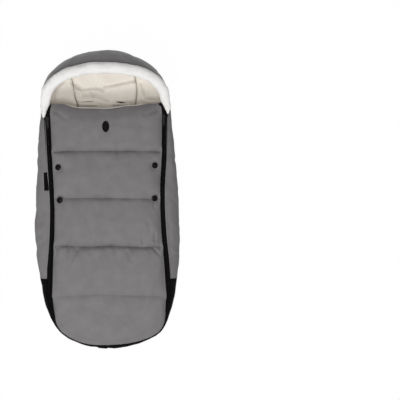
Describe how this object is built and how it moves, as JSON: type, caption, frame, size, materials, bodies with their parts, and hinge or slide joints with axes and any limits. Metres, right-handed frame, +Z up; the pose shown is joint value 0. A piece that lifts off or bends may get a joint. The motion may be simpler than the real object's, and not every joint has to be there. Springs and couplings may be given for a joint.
{
  "type": "stroller footmuff",
  "caption": "Padded sleeping-bag footmuff with quilted front cover between side zips, fold-down flap, plush-edged hood and fleece lining.",
  "frame": {"origin": "under the middle of the footmuff's box, on the surface it lies on", "axes": "+Z up out of the front cover, +Y towards the hood, +X to the right seen from above with the hood at the top"},
  "size_m": [0.424, 0.882, 0.1559],
  "materials": {
    "grey_fabric": "matte",
    "black_fabric": "matte",
    "wadding": "matte",
    "cream_fleece": "matte",
    "white_plush": "matte",
    "zip_tape": "matte",
    "zip_teeth": "satin",
    "black_metal": "satin",
    "black_snap": "satin"
  },
  "bodies": {
    "sack": {"back_panel": "grey_fabric", "back_panel_foot": "grey_fabric", "back_panel_head_left": "grey_fabric", "back_panel_head_right": "grey_fabric", "back_padding": "wadding", "back_lining": "cream_fleece", "side_wall_left": "grey_fabric", "side_wall_right": "grey_fabric", "side_padding_left": "wadding", "side_padding_right": "wadding", "side_lining_left": "cream_fleece", "side_lining_right": "cream_fleece", "foot_guard": "black_fabric", "foot_padding": "wadding", "foot_lining": "cream_fleece", "hood_shell": "grey_fabric", "hood_padding": "wadding", "hood_lining": "cream_fleece", "plush_trim": "white_plush", "zip_tape_left": "zip_tape", "zip_tape_right": "zip_tape", "zip_coil_left": "zip_teeth", "zip_coil_right": "zip_teeth", "zip_stop_left": "black_metal", "zip_stop_right": "black_metal", "zip_end_tab_left": "black_fabric", "zip_end_tab_right": "black_fabric", "toe_web": "black_fabric", "side_tag": "zip_tape", "slot_binding_left": "cream_fleece", "slot_binding_right": "cream_fleece", "slot_binding_crotch": "cream_fleece"},
    "cover": {"front_cover": "grey_fabric", "cover_padding": "wadding", "cover_lining": "cream_fleece", "cover_tape_left": "zip_tape", "cover_tape_right": "zip_tape", "cover_coil_left": "zip_teeth", "cover_coil_right": "zip_teeth", "snap_socket_left": "black_snap", "snap_socket_right": "black_snap", "socket_back_left": "black_snap", "socket_back_right": "black_snap"},
    "flap": {"cover_flap": "grey_fabric", "flap_padding": "wadding", "flap_lining": "cream_fleece", "flap_tape_left": "zip_tape", "flap_tape_right": "zip_tape", "flap_coil_left": "zip_teeth", "flap_coil_right": "zip_teeth", "snap_stud_left": "black_snap", "snap_stud_right": "black_snap", "stud_back_left": "black_snap", "stud_back_right": "black_snap", "badge": "black_snap"},
    "slider_l": {"slider_left": "black_metal"},
    "slider_r": {"slider_right": "black_metal"},
    "puller_l": {"puller_left": "black_metal"},
    "puller_r": {"puller_right": "black_metal"}
  },
  "joints": [
    {"name": "cover_open", "type": "hinge", "parent": "sack", "child": "cover", "pos_m": [0, -0.42655, 0.052], "axis": [1, 0, 0], "range_deg": [0, 165]},
    {"name": "flap_fold", "type": "hinge", "parent": "cover", "child": "flap", "pos_m": [0, 0.04901, 0.1065], "axis": [1, 0, 0], "range_deg": [0, 180]},
    {"name": "slider_left_slide", "type": "slide", "parent": "sack", "child": "slider_l", "axis": [0.032, -0.9995, 0], "range_m": [0, 0.234]},
    {"name": "slider_right_slide", "type": "slide", "parent": "sack", "child": "slider_r", "axis": [-0.032, -0.9995, 0], "range_m": [0, 0.234]},
    {"name": "puller_left_swing", "type": "hinge", "parent": "slider_l", "child": "puller_l", "pos_m": [-0.17172, 0.24128, 0.0825], "axis": [-0.9995, -0.032, 0], "range_deg": [0, 120]},
    {"name": "puller_right_swing", "type": "hinge", "parent": "slider_r", "child": "puller_r", "pos_m": [0.17172, 0.24128, 0.0825], "axis": [-0.9995, 0.032, 0], "range_deg": [0, 120]}
  ]
}
